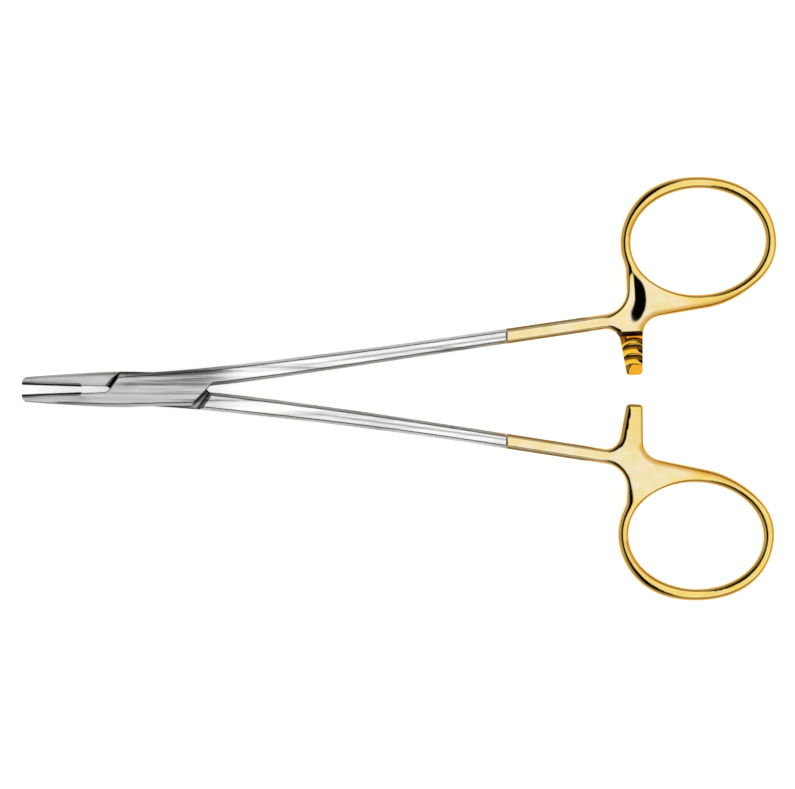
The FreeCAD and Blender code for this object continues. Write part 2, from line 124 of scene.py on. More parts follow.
def ground_steel(tree, place, x, y):
    """Colour, roughness and fine streaks of the ground faces. The tone is the streaks plus a lift that
    depends on the place: box falls from 1 to 0 behind the cheeks, and jaw rises to 1 in front of them."""
    fine, broad = streaks(tree, place, 0.3, 9.0, 4.0), streaks(tree, place, 1.5, 40.0, 1.0)
    tone = add(tree, "ShaderNodeMix", Factor=0.68, in2=fine, in3=broad).outputs[0]
    box = add(tree, "ShaderNodeMapRange", SMOOTH, in0=x, in1=10 * MM, in2=24 * MM, in3=1.0,
              in4=0.0).outputs[0]
    jaw = add(tree, "ShaderNodeMapRange", in0=x, in1=-6 * MM, in2=-13 * MM).outputs[0]
    # painted shade: the cheeks grow darker from y = 0.2 to 1.6 mm, over their upper half
    deep = add(tree, "ShaderNodeMapRange", SMOOTH, in0=y, in1=0.2 * MM, in2=1.6 * MM, in3=0.0,
               in4=-0.075).outputs[0]
    deep = add(tree, "ShaderNodeMath", TIMES, in0=deep, in1=box).outputs[0]
    lift = add(tree, "ShaderNodeMapRange", in0=box, in3=0.15, in4=0.06).outputs[0]
    lift = add(tree, "ShaderNodeMath", TIMES_PLUS, in0=jaw, in1=0.14, in2=lift).outputs[0]
    lift = add(tree, "ShaderNodeMath", in0=deep, in1=lift).outputs[0]
    tone = add(tree, "ShaderNodeMath", in0=tone, in1=lift).outputs[0]
    greys = ((0.38, "#6C6C6B"), (0.47, "#ABABA9"), (0.57, "#E8E8E6"), (0.72, "#FFFFFF"))
    colour = add(tree, "ShaderNodeValToRGB", Fac=tone, stops=greys).outputs[0]
    rough = add(tree, "ShaderNodeMapRange", in0=box, in3=0.10, in4=0.28).outputs[0]
    rough = add(tree, "ShaderNodeMath", TIMES_PLUS, in0=jaw, in1=0.42, in2=rough).outputs[0]
    rough = add(tree, "ShaderNodeMath", TIMES_PLUS, in0=fine, in1=0.12, in2=rough).outputs[0]
    return colour, rough, fine


# %% [markdown]
# ## Streak, broken corners and painted dark lines on the steel
# A darker streak runs down each shank. The corners are broken with a polishing stick, which leaves them
# narrower and smoother than the ground faces, and along the upper ones a painted dark reflection is laid.
# They could be cut into the mesh, but the Bevel node finds them without a change to the shape: at a corner
# the rounded normal turns away from the true one. Where the rivet and the inserts are ground flush with the
# arm, no corner is broken.

# %% Streak and broken corners
GRIP_SLOPE = math.tan(math.radians(2))  # the gripping faces lie 2 degrees to either side of the X axis


def shank_streak(tree, x, out_by):
    """How dark the streak is. Its middle lies at |y| = 1.095 + 0.1216 x + 0.000128 x^2, in mm. It fades in
    from x = 26 to 50 mm, and it fades out from 0.05 to 0.4 mm beside its middle."""
    slope = add(tree, "ShaderNodeMath", TIMES_PLUS, in0=x, in1=0.000128 / MM, in2=0.1216).outputs[0]
    middle = add(tree, "ShaderNodeMath", TIMES_PLUS, in0=x, in1=slope, in2=1.095 * MM).outputs[0]
    off = add(tree, "ShaderNodeMath", MINUS, in0=out_by, in1=middle).outputs[0]
    off = add(tree, "ShaderNodeMath", UNSIGNED, in0=off).outputs[0]
    line = add(tree, "ShaderNodeMapRange", SMOOTH, in0=off, in1=0.05 * MM, in2=0.4 * MM, in3=1.0,
               in4=0.0).outputs[0]
    begin = add(tree, "ShaderNodeMapRange", SMOOTH, in0=x, in1=26 * MM, in2=50 * MM, in3=0.0,
                in4=0.75).outputs[0]
    return add(tree, "ShaderNodeMath", TIMES, in0=line, in1=begin).outputs[0]


def broken_corners(tree, place, x, out_by, true):
    """Mask of the upper broken corners, where a dark reflection is painted, their rounded normal, and where
    it may be used: more than 2 mm from the axis, so outside the rivet, and more than 1.2 mm behind the
    gripping faces, so outside the inserts."""
    worn = add(tree, "ShaderNodeBevel", {"samples": 8}, Radius=0.40 * MM).outputs[0]
    alike = add(tree, "ShaderNodeVectorMath", DOT, in0=worn, in1=true).outputs["Value"]
    plan = add(tree, "ShaderNodeVectorMath", TIMES, in0=place, in1=(1, 1, 0)).outputs[0]
    around = add(tree, "ShaderNodeVectorMath", LENGTH, in0=plan).outputs["Value"]
    away = add(tree, "ShaderNodeMapRange", in0=around, in1=2.0 * MM, in2=2.2 * MM).outputs[0]
    behind = add(tree, "ShaderNodeMath", TIMES_PLUS, in0=x, in1=GRIP_SLOPE, in2=out_by).outputs[0]
    seat = add(tree, "ShaderNodeMapRange", in0=behind, in1=1.2 * MM, in2=1.35 * MM).outputs[0]
    past = add(tree, "ShaderNodeMapRange", in0=x, in1=-17.2 * MM, in2=-16.8 * MM).outputs[0]
    seat = add(tree, "ShaderNodeMath", LARGER, in0=seat, in1=past).outputs[0]
    away = add(tree, "ShaderNodeMath", TIMES, in0=seat, in1=away).outputs[0]
    corner = add(tree, "ShaderNodeMapRange", in0=alike, in1=0.9997, in2=0.994).outputs[0]
    corner = add(tree, "ShaderNodeMath", TIMES, in0=corner, in1=away).outputs[0]
    level = add(tree, "ShaderNodeSeparateXYZ", Vector=worn).outputs[2]
    level = add(tree, "ShaderNodeMath", UNSIGNED, in0=level).outputs[0]
    # painted dark reflection: only corners whose rounded normal leans less than about 43 degrees from
    # straight up
    upper = add(tree, "ShaderNodeMapRange", in0=level, in1=0.70, in2=0.76).outputs[0]
    return add(tree, "ShaderNodeMath", TIMES, in0=corner, in1=upper).outputs[0], worn, away


# %% [markdown]
# ## The steel as one material
# Four tints are laid over the ground colour, one after the other: the streak, the bevels, which are filed
# by hand and stay duller, a painted dark reflection on the upper broken corners, and painted shade in the
# recesses of the joint. The recesses are found by how little open space there is within 1.3 mm of the
# surface.

# %% Steel material
def steel_material(name):
    """Ground colour times four tints, each by its mask. The broken corners are smoother than the faces."""
    material, tree, out = new_material(name)
    place = add(tree, "ShaderNodeTexCoord").outputs["Object"]
    x, y = add(tree, "ShaderNodeSeparateXYZ", Vector=place).outputs[:2]
    out_by = add(tree, "ShaderNodeMath", UNSIGNED, in0=y).outputs[0]
    true = add(tree, "ShaderNodeNewGeometry").outputs["Normal"]
    colour, rough, fine = ground_steel(tree, place, x, y)
    corner, worn, away = broken_corners(tree, place, x, out_by, true)
    tilt = add(tree, "ShaderNodeSeparateXYZ", Vector=true).outputs[2]
    tilt = add(tree, "ShaderNodeMath", UNSIGNED, in0=tilt).outputs[0]
    filed = add(tree, "ShaderNodeMapRange", in0=tilt, in1=0.85, in2=0.75).outputs[0]
    # painted shade: the recesses of the joint darken where little open space lies within 1.3 mm
    reach = add(tree, "ShaderNodeAmbientOcclusion", {"samples": 8}, Distance=1.3 * MM).outputs["AO"]
    painted_recess_shade = add(tree, "ShaderNodeMapRange", in0=reach, in1=0.88, in2=0.64).outputs[0]
    streak = shank_streak(tree, x, out_by)
    # the corner tint is a painted dark reflection and the recess tint a painted shade
    for mask, tint in ((streak, "#A6A6A4"), (filed, "#D4D4D2"), (corner, "#181818"), (painted_recess_shade, "#303030")):
        colour = add(tree, "ShaderNodeMix", TINTED, in0=mask, in6=colour, in7=linear(tint)).outputs[2]
    rough = add(tree, "ShaderNodeMix", in0=corner, in2=rough, in3=0.10).outputs[0]
    normal = add(tree, "ShaderNodeMix", {"data_type": "VECTOR"}, in0=away, in4=true, in5=worn).outputs[1]
    bump = add(tree, "ShaderNodeBump", Height=fine, Distance=0.02 * MM, Strength=0.35,
               Normal=normal).outputs[0]
    shader = add(tree, "ShaderNodeBsdfPrincipled", Metallic=1.0, Roughness=rough, Normal=bump)
    tree.links.new(colour, shader.inputs["Base Color"])
    tree.links.new(shader.outputs[0], out.inputs[0])
    print(name, "has", len(tree.nodes), "nodes")
    return material


steel = steel_material("satin_stainless_steel")


# %% [markdown]
# ## Gold plating
# The handle ends are polished and gold plated. Gold has a warm mirror colour of its own. On the wide flat
# places a pale and a little cloudy gold is painted, a painted highlight of the bright light overhead; on
# the rings and in the ratchet the plating is deep yellow. The mesh of the handle end says where that
# is with three values at each point: wide is 1 on the flat places, edge is the distance to the rim in mm,
# along which a browner painted shade lies, and groove tells how deep the point lies in the ratchet, from a
# dark brown painted shade on the shallow slopes to a bright yellow painted highlight at the feet of the
# teeth.

# %% Gold material
def gold_material():
    """Cloudy pale gold, a painted highlight, or deep gold by wide, times the rim's painted shade by edge,
    times the ratchet's painted shade and highlight by groove.
    """
    material, tree, out = new_material("polished_gold_plating")
    place = add(tree, "ShaderNodeTexCoord").outputs["Object"]
    wide, edge, groove = (add(tree, "ShaderNodeAttribute", {"attribute_name": name}).outputs["Fac"]
                          for name in ("wide", "edge", "groove"))
    cloud = add(tree, "ShaderNodeTexNoise", Vector=place, Scale=0.25 / MM, Detail=2.0).outputs[0]
    # painted highlight: the pale gold on the flat places stands for the glare of the light overhead
    painted_highlight_gold = add(tree, "ShaderNodeValToRGB", Fac=cloud,
               stops=((0.34, "#EBDA9C"), (0.62, "#EEDFBC"))).outputs[0]
    deep = add(tree, "ShaderNodeValToRGB", Fac=cloud,
               stops=((0.35, "#EBCA64"), (0.65, "#EDD382"))).outputs[0]
    # painted shade: the plating turns browner towards the rim
    rim = add(tree, "ShaderNodeValToRGB", Fac=edge,
              stops=((0.0, "#F3D09A"), (0.3, "#DCB878"), (0.62, "#FFFFFF"))).outputs[0]
    # painted shade and highlight in the ratchet: dark brown on the step and shallow slopes, bright yellow
    # deeper
    low = add(tree, "ShaderNodeValToRGB", Fac=groove,
              stops=((0.0, "#FFFFFF"), (0.06, "#5C4A26"), (0.38, "#4E3E1E"), (0.58, "#FABC48"),
                     (0.85, "#FFD668"), (1.0, "#FFE990"))).outputs[0]
    colour = add(tree, "ShaderNodeMix", MIXED, in0=wide, in6=deep, in7=painted_highlight_gold).outputs[2]
    for tint in (rim, low):
        colour = add(tree, "ShaderNodeMix", TINTED, in0=1.0, in6=colour, in7=tint).outputs[2]
    wave = add(tree, "ShaderNodeTexNoise", Vector=place, Scale=0.3 / MM, Detail=1.0).outputs[0]
    bump = add(tree, "ShaderNodeBump", Height=wave, Distance=0.018 * MM, Strength=1.0).outputs[0]
    shader = add(tree, "ShaderNodeBsdfPrincipled", Metallic=1.0, Roughness=0.06, Normal=bump)
    tree.links.new(colour, shader.inputs["Base Color"])
    tree.links.new(shader.outputs[0], out.inputs[0])
    print("gold plating has", len(tree.nodes), "nodes")
    return material


gold = gold_material()

# %% [markdown]
# ## The arm's own drawing plane
# Both arms are forged to one drawing, lie at half the opening angle to either side, and the lower arm is
# turned over. Working in that drawing, in millimetres, gives each shape one formula for both arms.

# %% Arm drawing to frame
HALF_OPEN = math.radians(2.4)
MIDDLE = 2.3  # height of the arms' middle plane above the table, in mm
GOLD_X = 84.0  # where the plating starts, in mm from the pivot


def arm_matrix(side):
    """Drawing mm to frame metres: mirror Y for the lower arm (side -1), turn, lift and scale."""
    flip = Matrix.Diagonal((1, side, 1, 1))
    turn = Matrix.Rotation(side * HALF_OPEN, 4, "Z")
    return Matrix.Scale(MM, 4) @ Matrix.Translation((0, 0, MIDDLE)) @ turn @ flip


print("the plating starts", GOLD_X, "mm from the pivot")


# %% [markdown]
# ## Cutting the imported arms
# Each arm is dressed in two parts: steel up to the plating, gold from there on. The steel part is cut out
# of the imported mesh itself. For the gold part only its outline is taken, from a level cut through the
# mesh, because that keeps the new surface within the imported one.

# %% Cut outline
def arm_mesh(node, side):
    """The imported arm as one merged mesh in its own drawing, in mm."""
    bm = bmesh.new()
    bm.from_mesh(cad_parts[node].data)
    bmesh.ops.remove_doubles(bm, verts=bm.verts, dist=0.0005 * MM)
    bmesh.ops.transform(bm, matrix=arm_matrix(side).inverted(), verts=bm.verts)
    if side < 0:
        bmesh.ops.reverse_faces(bm, faces=bm.faces)
    return bm


def slice_of(bm, point, normal, keep="both"):
    """Cuts the mesh with a plane and returns the cut's edges; "above" drops what is behind the normal."""
    geometry = bm.verts[:] + bm.edges[:] + bm.faces[:]
    cut = bmesh.ops.bisect_plane(bm, geom=geometry, dist=1e-6, plane_co=point, plane_no=normal,
                                 clear_inner=keep == "above", clear_outer=keep == "below")
    return [e for e in cut["geom_cut"] if isinstance(e, bmesh.types.BMEdge)]


def walk(edges):
    """The polylines that a set of edges forms, as arrays of x, y and whether each is closed."""
    near = {}
    for e in edges:
        for a, b in (e.verts, reversed(e.verts)):
            near.setdefault(a, []).append(b)
    lines = []
    while near:
        ends = [v for v in near if len(near[v]) == 1]
        start = ends[0] if ends else next(iter(near))
        line, here = [start], start
        while near.get(here):
            step = near[here].pop()
            near[step].remove(here)
            if not near[here]:
                del near[here]
            line.append(step)
            here = step
        near.pop(here, None)
        closed = line[0] is line[-1]
        lines.append((np.array([v.co.xy for v in (line[:-1] if closed else line)]), closed))
    return lines


def outline(node, side, level, start):
    """Outer line and hole of the arm beyond a station, at one level, both with the metal on their left."""
    bm = arm_mesh(node, side)
    slice_of(bm, (start, 0, 0), (1, 0, 0), "above")
    lines = walk(slice_of(bm, (0, 0, level), (0, 0, 1)))
    bm.free()
    outer = max((p for p, closed in lines if not closed), key=len)
    hole = max((p for p, closed in lines if closed), key=len)
    if outer[0, 1] > outer[-1, 1]:
        outer = outer[::-1]
    x, y = hole.T
    if (x * np.roll(y, -1) - y * np.roll(x, -1)).sum() > 0:
        hole = hole[::-1]
    return outer, hole


# %% [markdown]
# ## Arms up to the plating
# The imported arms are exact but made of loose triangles. A copy is merged and cut off where the plating
# starts, and the shading is smoothed wherever neighbouring faces meet at less than 25 degrees, so bevels
# stay crisp.

# %% Shading of a merged mesh
def finish_mesh(bm, mesh, sharp, flat=0):
    """Joins areas that are flat to the given angle, smooths all faces, and keeps edges sharp that turn by
    more than the other angle. Both are in degrees."""
    if flat:
        bmesh.ops.dissolve_limit(bm, angle_limit=math.radians(flat), verts=bm.verts, edges=bm.edges)
    for face in bm.faces:
        face.smooth = True
    for edge in bm.edges:
        edge.smooth = len(edge.link_faces) == 2 and edge.calc_face_angle(0) < math.radians(sharp)
    bm.to_mesh(mesh)
    bm.free()


def dressed(mesh, name, node, body, material):
    """Puts a finished mesh into the scene in place of a CAD node, riding on its body."""
    mesh.name = name
    mesh.materials.clear()
    mesh.materials.append(material)
    piece = bpy.data.objects.new(name, mesh)
    bpy.context.scene.collection.objects.link(piece)
    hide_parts(node)
    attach(piece, body)
    return piece


# %% Front parts of the arms
def front_part(node, body, side):
    """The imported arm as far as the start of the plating, closed there by a flat face."""
    bm = arm_mesh(node, side)
    cut = slice_of(bm, (GOLD_X, 0, 0), (1, 0, 0), "below")
    bmesh.ops.contextual_create(bm, geom=cut)
    if side < 0:
        bmesh.ops.reverse_faces(bm, faces=bm.faces)
    bmesh.ops.transform(bm, matrix=arm_matrix(side), verts=bm.verts)
    mesh = bpy.data.meshes.new(node)
    finish_mesh(bm, mesh, 25)
    dressed(mesh, node + "_front", node, body, steel)
    print(node, "front:", len(mesh.polygons), "faces")


front_part("box_arm", "box_side", 1)
front_part("tenon_arm", "tenon_side", -1)


# %% [markdown]
# ## Even steps along the outline
# The cut outline has points wherever a triangle ended, close together in some places and far apart in
# others. A ring that is shaded as a mirror shows that as dents. So a smooth curve is laid through the
# points and walked along in even steps.

# %% Even steps along a curve
def resample(points, closed, step):
    """Even steps along a smooth curve through the points: on each stretch a cubic whose end directions are
    the means of the two neighbouring stretches' directions, weighted by the squares of their lengths."""
    p = np.vstack([points, points[:1]]) if closed else points
    chord = np.diff(p, axis=0)
    length = np.hypot(*chord.T)[:, None]
    way, weight = chord / length, length ** 2
    if closed:
        before, after = np.roll(np.arange(len(way)), 1), np.arange(len(way))
        tangent = weight[before] * way[before] + weight[after] * way[after]
        tangent = np.vstack([tangent, tangent[:1]])
    else:
        tangent = np.vstack([way[:1], weight[:-1] * way[:-1] + weight[1:] * way[1:], way[-1:]])
    tangent /= np.hypot(*tangent.T)[:, None]
    along = np.concatenate([[0], np.cumsum(length)])
    count = int(round(along[-1] / step))
    s = np.linspace(0, along[-1], count + 1)[:count if closed else count + 1]
    i = np.clip(np.searchsorted(along, s, "right") - 1, 0, len(way) - 1)
    t = ((s - along[i]) / length[i, 0])[:, None]
    a, b = p[i], p[i + 1]
    u, v = tangent[i] * length[i], tangent[i + 1] * length[i]
    return ((2 * t ** 3 - 3 * t ** 2 + 1) * a + (t ** 3 - 2 * t ** 2 + t) * u
            + (3 * t ** 2 - 2 * t ** 3) * b + (t ** 3 - t ** 2) * v)


def sideways(line, closed):
    """Unit normals to the right of a polyline, from the steps before and after each point."""
    if closed:
        d = np.roll(line, -1, 0) - np.roll(line, 1, 0)
    else:
        d = np.gradient(line, axis=0)
    d /= np.hypot(*d.T)[:, None]
    return np.c_[d[:, 1], -d[:, 0]]


def thinned(points, least):
    """The polyline without points that lie closer than the least distance to the one before."""
    keep = [0]
    for i in range(1, len(points)):
        if np.hypot(*(points[i] - points[keep[-1]])) > least:
            keep.append(i)
    return points[keep]


# %% [markdown]
# ## Gold-plated handle ends
# The finger rings are forged round and polished, and they melt without an edge into the flat junction and
# the bevelled shank. A lofted ring could not blend with the T of shank, ring and ratchet bar. Instead the
# plan outline is filled with a triangle mesh, and a soap film is stretched over it and blown up a little.
# Near an edge the film rises steeply, over a band it makes an even crown, and over a wide place it levels
# off, which is just how such a forging is finished by hand on a polishing wheel.

# %% Soap film
MOST_ROUNDS = 1500  # of the solver
SMALL = 1e-12  # share of the load at which it stops


def film(xy, triangles, fixed):
    """Height of a film under unit pressure, zero at the fixed points: the finite-element Laplace matrix,
    with half the cotangent of the facing corner for each edge, is solved by conjugate gradients."""
    count = len(xy)
    load, pairs, values = np.zeros(count), [], []
    for k in range(3):
        a, b, c = triangles[:, k], triangles[:, (k + 1) % 3], triangles[:, (k + 2) % 3]
        u, v = xy[a] - xy[c], xy[b] - xy[c]
        area = np.abs(u[:, 0] * v[:, 1] - u[:, 1] * v[:, 0])
        pairs.append(np.c_[a, b])
        values.append((u * v).sum(1) / np.maximum(area, 1e-9) / 2)
        load += np.bincount(c, area / 6, count)
    i, j = np.vstack(pairs).T
    w = np.concatenate(values)
    diagonal = np.bincount(i, w, count) + np.bincount(j, w, count)
    free = ~fixed

    def stretched(f):
        return (diagonal * f - np.bincount(i, w * f[j], count) - np.bincount(j, w * f[i], count)) * free

    height, rest = np.zeros(count), load * free
    ahead = rest / np.maximum(diagonal, 1e-9)
    score = (rest * ahead).sum()
    step = ahead.copy()
    for _ in range(MOST_ROUNDS):
        pull = stretched(step)
        size = score / (step * pull).sum()
        height += size * step
        rest -= size * pull
        ahead = rest / np.maximum(diagonal, 1e-9)
        new = (rest * ahead).sum()
        if new < SMALL * max(1.0, load.sum()):
            break
        step = ahead + new / score * step
        score = new
    return height


# %% [markdown]
# ## Distances in the plan
# The bevel of the shank, the walls of the bars and the brown rim of the plating all follow the outline at
# a set depth. Two questions answer where a point is: how far from a line, and whether inside a closed one.

# %% Distances in the plan
def distance(xy, line, closed):
    """Distance of each point to a polyline: the least over all its stretches, in blocks of points."""
    a = line if closed else line[:-1]
    b = np.roll(line, -1, 0) if closed else line[1:]
    d = b - a
    out = np.empty(len(xy))
    for k in range(0, len(xy), 2000):
        p = xy[k:k + 2000, None, :] - a[None]
        t = np.clip((p * d).sum(2) / (d * d).sum(1), 0, 1)
        out[k:k + 2000] = np.sqrt(((p - t[..., None] * d) ** 2).sum(2).min(1))
    return out


def inside(xy, line):
    """Whether each point lies inside a closed polyline: odd crossings of a ray towards +X."""
    a, b = line, np.roll(line, -1, 0)
    out = np.empty(len(xy), bool)
    for k in range(0, len(xy), 2000):
        x, y = xy[k:k + 2000, 0, None], xy[k:k + 2000, 1, None]
        spans = (a[:, 1] > y) != (b[:, 1] > y)
        run = np.where(b[:, 1] == a[:, 1], 1e-12, b[:, 1] - a[:, 1])
        cross = a[:, 0] + (y - a[:, 1]) / run * (b[:, 0] - a[:, 0])
        out[k:k + 2000] = (spans & (cross > x)).sum(1) % 2 == 1
    return out


# %% [markdown]
# ## Ratchet teeth
# The bar on the box arm is filed down to a flat land and carries three saw teeth, hollow ground with a
# wheel, so that each is a steep wall and a long hollow curved about a centre further down the bar. The
# heights are a formula over the plan. The triangles follow the crests and feet, because a sharp edge that
# runs across triangles comes out as a saw of its own.

# %% Ratchet teeth
HALF_THICK = 1.6  # heights are in mm from the arm's middle plane
CREST = -0.05  # the land and the crests
TOOTH_COUNT, TOOTH_DEPTH, TOOTH_WALL, TOOTH_ARC = 3, 0.7, 0.25, 3.4
TOOTH_Y, TOOTH_PITCH, TOOTH_LAND = 0.81, 2.43, 0.12
STEP_TOP, STEP_LOW, STEP_LAND, STEP_SOFT = 8.6, 7.4, 0.25, 0.12
BAR_MIDDLE = 113.8
UNCUT = 2 * HALF_THICK  # a height above everything, where nothing is cut away


def tooth_arcs():
    """For each tooth the centre of its arcs on the bar's middle line, and its hollow's outer radius."""
    for i in range(TOOTH_COUNT):
        crest = TOOTH_Y + i * TOOTH_PITCH
        centre = crest - TOOTH_ARC
        yield centre, min(crest + TOOTH_PITCH - TOOTH_LAND, STEP_LOW - STEP_LAND) - centre


def teeth(x, y):
    """Height of the toothed side of the bar over its plan: the step down from full thickness, the flat
    land, and the teeth. A tooth falls by its depth over the wall, then rises again along a circle to just
    above the land."""
    z = np.full_like(x, CREST)
    slope = CREST + (y - STEP_LOW) / (STEP_TOP - STEP_LOW) * (HALF_THICK - CREST)
    z = np.where(y > STEP_LOW, slope, z)
    z = np.where(y > STEP_TOP, UNCUT, z)
    for centre, far in tooth_arcs():
        r = np.hypot(x - BAR_MIDDLE, y - centre)
        run, rise = far - TOOTH_ARC - TOOTH_WALL, TOOTH_DEPTH + 0.02
        bend = (run ** 2 + rise ** 2) / (2 * rise)
        u = np.clip(r - TOOTH_ARC - TOOTH_WALL, 0, run)
        hollow = CREST - TOOTH_DEPTH + bend - np.sqrt(bend ** 2 - u ** 2)
        wall = CREST - TOOTH_DEPTH * (r - TOOTH_ARC) / TOOTH_WALL
        cut = np.where(r < TOOTH_ARC + TOOTH_WALL, wall, hollow)
        ahead = (r > TOOTH_ARC) & (r < far) & (y > centre)
        z = np.where(ahead, np.minimum(z, cut), z)
    return z


def tooth_lines():
    """Plan lines that the triangles follow: crest, foot and end of each tooth, and both edges of the step,
    each with a second line close by, so that the colour of the step ends there too."""
    lines = []
    turn = np.radians(np.linspace(40, 140, 60))
    for centre, far in tooth_arcs():
        for r in (TOOTH_ARC, TOOTH_ARC + TOOTH_WALL, far):
            lines.append(np.c_[BAR_MIDDLE + r * np.cos(turn), centre + r * np.sin(turn)])
    across = np.linspace(BAR_MIDDLE - 8, BAR_MIDDLE + 8, 60)
    for y in (STEP_TOP, STEP_TOP - STEP_SOFT, STEP_LOW + STEP_SOFT, STEP_LOW):
        lines.append(np.c_[across, np.full(60, y)])
    return lines


print("teeth end at y =", [round(centre + far, 2) for centre, far in tooth_arcs()])


# %% [markdown]
# ## Filling the plan
# The film needs triangles that are small near the rim, where it rises steeply, and may be larger further
# in. So rows of points follow the outline at growing depths, an even grid fills the rest, and a Delaunay
# triangulation joins them without crossing the outline or the lines of the teeth.

# %% Plan of the handle end
LEVEL = 0.95  # height of the level cut above or below the middle plane
STEP = 0.2  # between points of the outline
GROW = 0.075  # the cut lies this far inside the widest outline
ROWS = (0.006, 0.03, 0.08, 0.15, 0.24, 0.35, 0.47, 0.56, 0.64, 0.72, 0.8, 0.9, 1.1)
GRID, GRID_DEPTH = 0.4, 1.25


def handle_outline(node, side):
    """Outer line and hole of the handle end in even steps, moved outwards to the widest outline."""
    outer, hole = outline(node, side, -LEVEL * side, GOLD_X)
    outer = resample(thinned(outer, 0.06), False, STEP)
    hole = resample(thinned(hole, 0.06), True, STEP)
    outer = outer + GROW * sideways(outer, False)
    outer[[0, -1], 0] = GOLD_X
    return outer, hole + GROW * sideways(hole, True)


def inner_points(outer, hole):
    """Rows along both lines, without points that have come too near to another stretch, and the grid.
    Every fourth point of a line is enough to measure from."""
    rows = [line - depth * sideways(line, closed)
            for line, closed in ((outer, False), (hole, True)) for depth in ROWS]
    rows = np.vstack(rows)
    depth = np.minimum(distance(rows, outer[::4], False), distance(rows, hole[::4], True))
    target = np.concatenate([np.repeat(ROWS, len(outer)), np.repeat(ROWS, len(hole))])
    rows = rows[depth > 0.93 * target - 0.01]
    gx, gy = np.meshgrid(np.arange(GOLD_X + 0.3, 150, GRID), np.arange(-3, 46, GRID))
    grid = np.c_[gx.ravel(), gy.ravel()]
    grid = grid[inside(grid, outer[::4]) & ~inside(grid, hole[::4])]
    near = np.minimum(distance(grid, outer[::4], False), distance(grid, hole[::4], True))
    fill = np.vstack([rows, grid[near > GRID_DEPTH]])
    return fill[inside(fill, outer) & ~inside(fill, hole) & (fill[:, 0] > GOLD_X + 0.02)]


def filled_plan(outer, hole):
    """Points and triangles of the plan, the triangles all turned to face up."""
    points = [outer, hole]
    edges = [np.c_[np.arange(len(outer)), np.roll(np.arange(len(outer)), -1)],
             len(outer) + np.c_[np.arange(len(hole)), np.roll(np.arange(len(hole)), -1)]]
    count = len(outer) + len(hole)
    for line in tooth_lines():
        points.append(line)
        edges.append(count + np.c_[np.arange(len(line) - 1), np.arange(1, len(line))])
        count += len(line)
    flat = np.vstack(points + [inner_points(outer, hole)])
    made = delaunay_2d_cdt([Vector(p) for p in flat], np.vstack(edges).tolist(), [], 0, 1e-5, False)
    xy, tri = np.array([v.to_tuple() for v in made[0]]), np.array(made[2])
    centre = xy[tri].mean(1)
    tri = tri[inside(centre, outer) & ~inside(centre, hole)]
    used, tri = np.unique(tri, return_inverse=True)
    xy, tri = xy[used], tri.reshape(-1, 3)
    area = np.cross(xy[tri[:, 1]] - xy[tri[:, 0]], xy[tri[:, 2]] - xy[tri[:, 0]])
    return xy, np.where((area > 0)[:, None], tri, tri[:, ::-1])


# %% [markdown]
# ## Heights of the handle end
# The shank comes in with filed bevels and turns into the round forging between x = 102 and 113 mm. The two
# bars keep a flat back with round edges, because they have to pass each other. The web above the toothed
# bar has a shallow hollow on its upper side only.

# %% Heights over the plan
BEVEL, BEVEL_SOFT = 0.72, 0.16  # how far in the shank's bevel reaches, and how softly it ends
CROWN, SWELL = 1.1, 2.4  # the rise at the rim and the slow one further in
BAR_ROUND, BAR_CROWN = 0.65, 1.4  # how far the bars fall at the rim, and from how far in
DENT_MIDDLE, DENT_HALF, DENT_DEPTH = (112.7, 16.4), (4.9, 7.4), 0.22
FACET_WIDE, FACET_SLOPE, FACET_FOOT, FACET_RUN = 1.25, 0.32, 1.7, 2.4


def smooth_step(a, b, x):
    """0 at a and 1 at b with level ends, so a fall along x where a is the larger."""
    t = np.clip((x - a) / (b - a), 0, 1)
    return t * t * (3 - 2 * t)


def plain_height(xy, depth, height, side):
    """Height of the whole side, the shank's share and the bars' share. A film of height f gives
    z = h sqrt(1 - 0.9 a - 0.1 b), with a = exp(-2 f / CROWN^2) and b = exp(-2 f / SWELL^2). The shank falls
    one for one from BEVEL outwards to the rim, and the bars end in a quarter ellipse."""
    blown = -2 * np.maximum(height, 0)
    part = 0.9 * np.exp(blown / CROWN ** 2) + 0.1 * np.exp(blown / SWELL ** 2)
    rounded = HALF_THICK * np.sqrt(np.maximum(1 - part, 0))
    under = depth - BEVEL
    bevelled = HALF_THICK + (under - np.sqrt(under ** 2 + BEVEL_SOFT ** 2)) / 2
    ring = smooth_step(102, 113, xy[:, 0])
    z = (1 - ring) * bevelled + ring * rounded
    on_bar = smooth_step(9.8, 8.5, xy[:, 1]) * (xy[:, 0] > 104)
    toward = np.clip(1 - depth / BAR_CROWN, 0, 1)
    walled = HALF_THICK - BAR_ROUND * (1 - np.sqrt(1 - toward ** 2))
    z = (1 - on_bar) * z + on_bar * walled
    if side > 0:
        around = np.hypot(*((xy - DENT_MIDDLE) / DENT_HALF).T)
        z = z - DENT_DEPTH * (1 - smooth_step(0.34, 1.0, around)) * smooth_step(0.7, 1.7, depth)
    return z, ring, on_bar


def toothed_height(xy, outer, z, on_bar):
    """Height of the toothed side: the least of the plain height, the teeth, and a small facet that is filed
    along the bar's left edge, which is the straight line through the outline's points there."""
    cut = np.where(xy[:, 1] < STEP_TOP, teeth(*xy.T), UNCUT)
    left = (outer[:, 0] < BAR_MIDDLE) & (np.abs(outer[:, 1] - 3) < 3.5)
    lean, foot = np.polyfit(outer[left, 1], outer[left, 0], 1)
    aside = (xy[:, 0] - foot - lean * xy[:, 1]) / math.hypot(1, lean)
    wide = FACET_WIDE * np.clip((xy[:, 1] + FACET_FOOT) / FACET_RUN, 0, 1)
    facet = CREST - FACET_SLOPE * np.clip(wide - aside, 0, None)
    low = np.where(xy[:, 1] < STEP_LOW, np.minimum(cut, facet), cut)
    return np.where(on_bar > 0, np.minimum(z, low), z), cut
